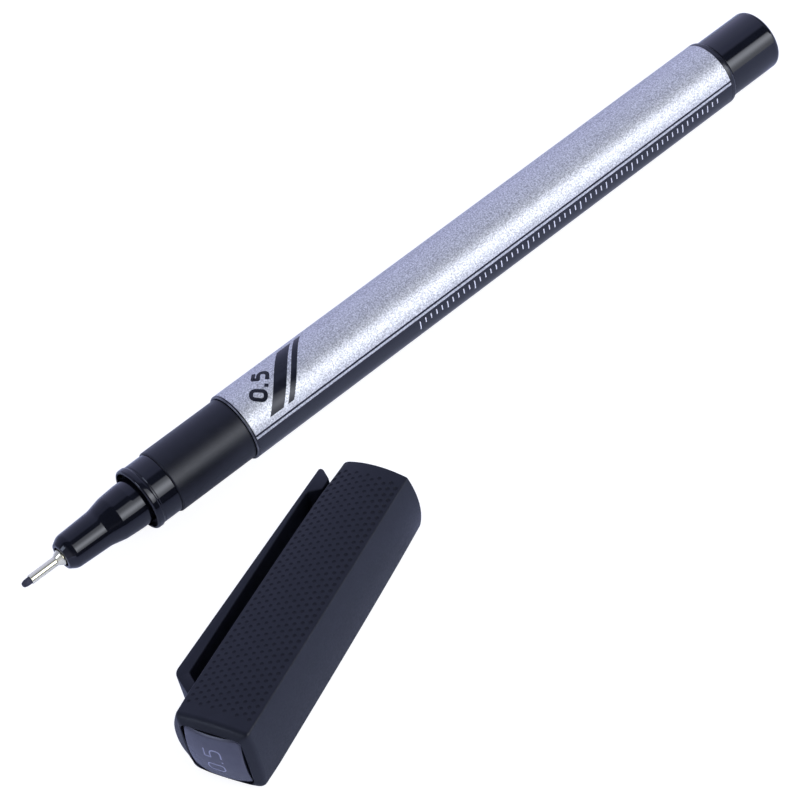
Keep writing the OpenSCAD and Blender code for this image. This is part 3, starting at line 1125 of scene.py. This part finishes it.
def make_plate_number():
    """The same plain number on the end plate, running upwards."""

    def on_plate(x, y, top):
        front = plate_bulge(x, y)
        return cap_point(front - 0.012 if top else front + 0.03, y, x)

    def moved(path, dx, dy):
        return [(x + dx, y + dy) for x, y in path]

    zero = moved(digit_zero(1.25, 2.3), -1.45, 0)
    five = moved(digit_five(1.25, 2.3), 1.2, 0)
    dot = moved([(-0.12, -1.15), (0.12, -1.15)], -0.12, 0)
    strokes = [(zero, PLATE_STROKE, True), (five, PLATE_STROKE, False), (dot, 0.2, False)]
    raised_print("plate_number", strokes, on_plate, PALE_INK, "cap")


LINER_STEPS = 96


def make_liner():
    """Soft seal inside the cap, turned about the cap's axis."""

    def round_cap(a, radius, turn):
        return cap_point(a, radius * math.cos(turn), radius * math.sin(turn))

    back, outer, mouth = LINER_SEAT + HAIR, LINER_BORE_R - HAIR, 21.0
    return revolved("cap_liner_soft", [
        (back, 0, 0), (back, outer, 0.1), (mouth, outer, 0.45), (mouth, 2.72, 0.4), (14, 2.72, 0.5),
        (12.5, 1.6, 0.5), (4.02, 1.6, 0.3), (4.02, 0, 0),
    ], round_cap, full_turn(LINER_STEPS), [WHITE])


# The assembly

stand_for(make_barrel(), "barrel", "pen")
stand_for(make_film(), "label_film", "pen")
stand_for(make_front_section(), "front_section", "pen")
stand_for(make_grip(), "grip_sleeve", "pen")
stand_for(make_nose(), "nose_cone", "pen")
stand_for(make_ferrule(), "ferrule", "pen")
stand_for(make_nib(), "fibre_nib", "pen")
stand_for(make_tail_plug(), "tail_plug", "pen")
make_number()
make_bars()
make_scale()
stand_for(make_cap_shell(), "cap_shell", "cap")
stand_for(make_end_plate(), "cap_end_plate", "cap")
make_plate_number()
stand_for(make_liner(), "cap_liner", "cap")
stand_for(make_clip(), "cap_clip", "clip")

for node, material in (("nib_holder", WHITE), ("ink_reservoir", FIBRE), ("reservoir_wrap", CLEAR)):
    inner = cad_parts[node].data
    inner.materials.clear()
    inner.materials.append(material)


# Stage


LAMP_TINT = (0.92, 0.96, 1.06)

TABLE_WHITE_SHARE = 0.72
TABLE_WHITE = 1.27
TABLE_TONE = (0.7, 0.73, 0.89)


def floor_paint():
    """Pale table that shows white and keeps a faint shadow; the object mirrors it as it is lit."""
    material = bpy.data.materials.new("pale_table")
    material.use_nodes = True
    material.node_tree.nodes.clear()
    paint = Nodes(material.node_tree)
    path = paint.node("ShaderNodeLightPath").outputs
    seen = paint.math("MAXIMUM", path["Is Camera Ray"], path["Is Transmission Ray"])
    matt = paint.out("ShaderNodeBsdfDiffuse", {"Color": (*TABLE_TONE, 1)})
    white = paint.out("ShaderNodeEmission", {"Strength": TABLE_WHITE})
    share = paint.math("MULTIPLY", seen, TABLE_WHITE_SHARE)
    whole = paint.out("ShaderNodeMixShader", {"Fac": share, 1: matt, 2: white})
    paint.node("ShaderNodeOutputMaterial", {"Surface": whole})
    return material


def make_floor():
    mesh = bpy.data.meshes.new("table")
    reach = 4.0
    mesh.from_pydata([(-reach, -reach, 0), (reach, -reach, 0), (reach, reach, 0), (-reach, reach, 0)], [],
                     [(0, 1, 2, 3)])
    mesh.materials.append(floor_paint())
    link(mesh, "table")


# Tones of the room by angle from overhead, towards the cap's side positive
ROOM_TONES = (
    (-180, (0.58, 0.6, 0.72)), (-97, (0.6, 0.62, 0.86)), (-85, (0.6, 0.61, 1.0)), (-60, (0.58, 0.62, 1.0)),
    (-37, (0.5, 0.54, 0.88)), (-25, (0.47, 0.51, 0.82)), (-9, (0.37, 0.41, 0.7)), (6, (0.34, 0.37, 0.62)),
    (14, (0.03, 0.04, 0.08)), (90, (0.02, 0.025, 0.035)), (120, (0.3, 0.3, 0.4)),
)

# The edge between the room's pale and dark sides runs at a slant, and the pale side brightens along it
ROOM_SLANT = 0.8
ROOM_SLANT_FROM = 0.38
PALE_SIDE = (0.0, 0.75, 0.6, 1.4)

# It ends beyond the pen's tail
PALE_END_FROM = 0.62
PALE_END_FULL = 0.8
PALE_END_SHARE = 0.25

# Pale wall beyond the pen's point
WALL_FROM = -0.5
WALL_FULL = -0.8
WALL_TONE = (0.34, 0.37, 0.5)

# Long softbox in front: its upper edge slants, and its heart is brightest
BOX_TOP = math.radians(31)
BOX_TOP_SLANT = math.radians(53)
BOX_TOP_FROM = 0.25
BOX_TOP_SOFT = math.radians(3)
BOX_BOTTOM = math.radians(93)
BOX_ENDS = (0.05, 0.9)
BOX_END_SOFT = 0.03
BOX_LEVEL = 1.45
BOX_HEART = 3.5
BOX_HEART_AT = math.radians(59.5)
BOX_HEART_WIDE = math.radians(13)


def make_room():
    """Dim lavender room with a dark front and a long softbox in it, as the glossy plastics mirror them."""
    world = bpy.data.worlds.new("studio")
    bpy.context.scene.world = world
    world.use_nodes = True
    room = Nodes(world.node_tree)
    where = room.out("ShaderNodeTexCoord", socket="Generated")
    axes = room.node("ShaderNodeSeparateXYZ", {"Vector": where}).outputs
    along = axes["X"]
    angle = room.math("ARCTAN2", room.math("MULTIPLY", axes["Y"], -1.0), axes["Z"])

    def between(value, low, high, low_out=0.0, high_out=1.0):
        return room.ranged(value, low, high, low_out, high_out, "SMOOTHSTEP")

    def scaled(colour, share):
        return room.out("ShaderNodeVectorMath", {0: colour, "Scale": share}, operation="SCALE")

    def summed(first, second):
        return room.out("ShaderNodeVectorMath", {0: first, 1: second}, operation="ADD")

    slant = room.math("MULTIPLY", room.math("SUBTRACT", along, ROOM_SLANT_FROM), ROOM_SLANT)
    turn = room.ranged(room.math("SUBTRACT", angle, slant), -math.pi, math.pi, 0.0, 1.0)
    tone = room.ramp(turn, [((degrees + 180) / 360, colour) for degrees, colour in ROOM_TONES])
    low, low_share, high, high_share = PALE_SIDE
    brightness = room.ranged(along, low, high, low_share, high_share)
    fade = between(along, PALE_END_FROM, PALE_END_FULL, 1.0, PALE_END_SHARE)
    pale = scaled(tone, room.math("MULTIPLY", brightness, fade))

    edge = room.math("MULTIPLY", room.math("SUBTRACT", along, BOX_TOP_FROM), BOX_TOP_SLANT)
    below_top = room.math("SUBTRACT", room.math("SUBTRACT", angle, BOX_TOP), edge)
    share = between(below_top, -BOX_TOP_SOFT, BOX_TOP_SOFT)
    share = room.math("MULTIPLY", share, between(angle, BOX_BOTTOM, BOX_BOTTOM + BOX_TOP_SOFT, 1.0, 0.0))
    first, last = BOX_ENDS
    share = room.math("MULTIPLY", share, between(along, first, first + BOX_END_SOFT))
    share = room.math("MULTIPLY", share, between(along, last - BOX_END_SOFT, last, 1.0, 0.0))
    off = room.math("DIVIDE", room.math("SUBTRACT", angle, BOX_HEART_AT), BOX_HEART_WIDE)
    heart = room.math("EXPONENT", room.math("MULTIPLY", room.math("MULTIPLY", off, off), -1.0))
    level = room.math("ADD", room.math("MULTIPLY", heart, BOX_HEART), BOX_LEVEL)
    box = scaled(LAMP_TINT, room.math("MULTIPLY", level, share))

    wall = scaled(WALL_TONE, between(along, WALL_FULL, WALL_FROM, 1.0, 0.0))
    room.feed(room.nodes["Background"], "Color", summed(summed(pale, box), wall))


def facing(place, right, up, back):
    """Matrix of a lamp or a camera at that place."""
    return Matrix.Translation(place) @ Matrix((right, up, back)).transposed().to_4x4()


def softbox(name, aim, direction, distance, across, tall, radiance, tint=LAMP_TINT, mirrored=True):
    """Rectangular soft light that faces the aim point, not seen by the camera."""
    lamp = bpy.data.lights.new(name, "AREA")
    lamp.shape = "RECTANGLE"
    lamp.size, lamp.size_y = across, tall
    lamp.energy = radiance * math.pi * across * tall
    lamp.color = tint
    box = link(lamp, name)
    towards = Vector(direction).normalized()
    side = Vector((0, 0, 1)).cross(towards).normalized()
    box.matrix_world = facing(Vector(aim) + towards * distance, side, towards.cross(side), towards)
    box.visible_camera = False
    box.visible_glossy = mirrored


def make_camera():
    lens = bpy.data.cameras.new("photo_camera")
    lens.lens = CAMERA_LENS
    lens.sensor_width = SENSOR
    lens.sensor_fit = "HORIZONTAL"
    lens.shift_x = -PIXEL_SHIFT / IMAGE_SIDE
    lens.shift_y = PIXEL_SHIFT / IMAGE_SIDE
    lens.clip_start = 0.01
    camera = link(lens, "photo_camera")
    up = -CAMERA_DOWN
    camera.matrix_world = facing(CAMERA_PLACE * MM, CAMERA_RIGHT, up, CAMERA_RIGHT.cross(up))
    bpy.context.scene.camera = camera


make_floor()
make_room()
softbox("front_fill", aim=(0, 0.01, 0.005), direction=(0.36, -0.82, 0.43), distance=0.7,
        across=0.5, tall=0.76, radiance=2.2, mirrored=False)
softbox("side_softbox", aim=(-0.02, 0, 0.005), direction=(-0.79, 0.14, 0.6), distance=0.6,
        across=0.2, tall=0.2, radiance=3.4, tint=(0.76, 0.86, 1.12))
softbox("top_fill", aim=(0, 0, 0), direction=(0, 0.1, 1), distance=0.8,
        across=0.9, tall=0.9, radiance=0.8, mirrored=False)
make_camera()
bpy.context.scene.view_settings.view_transform = "Standard"
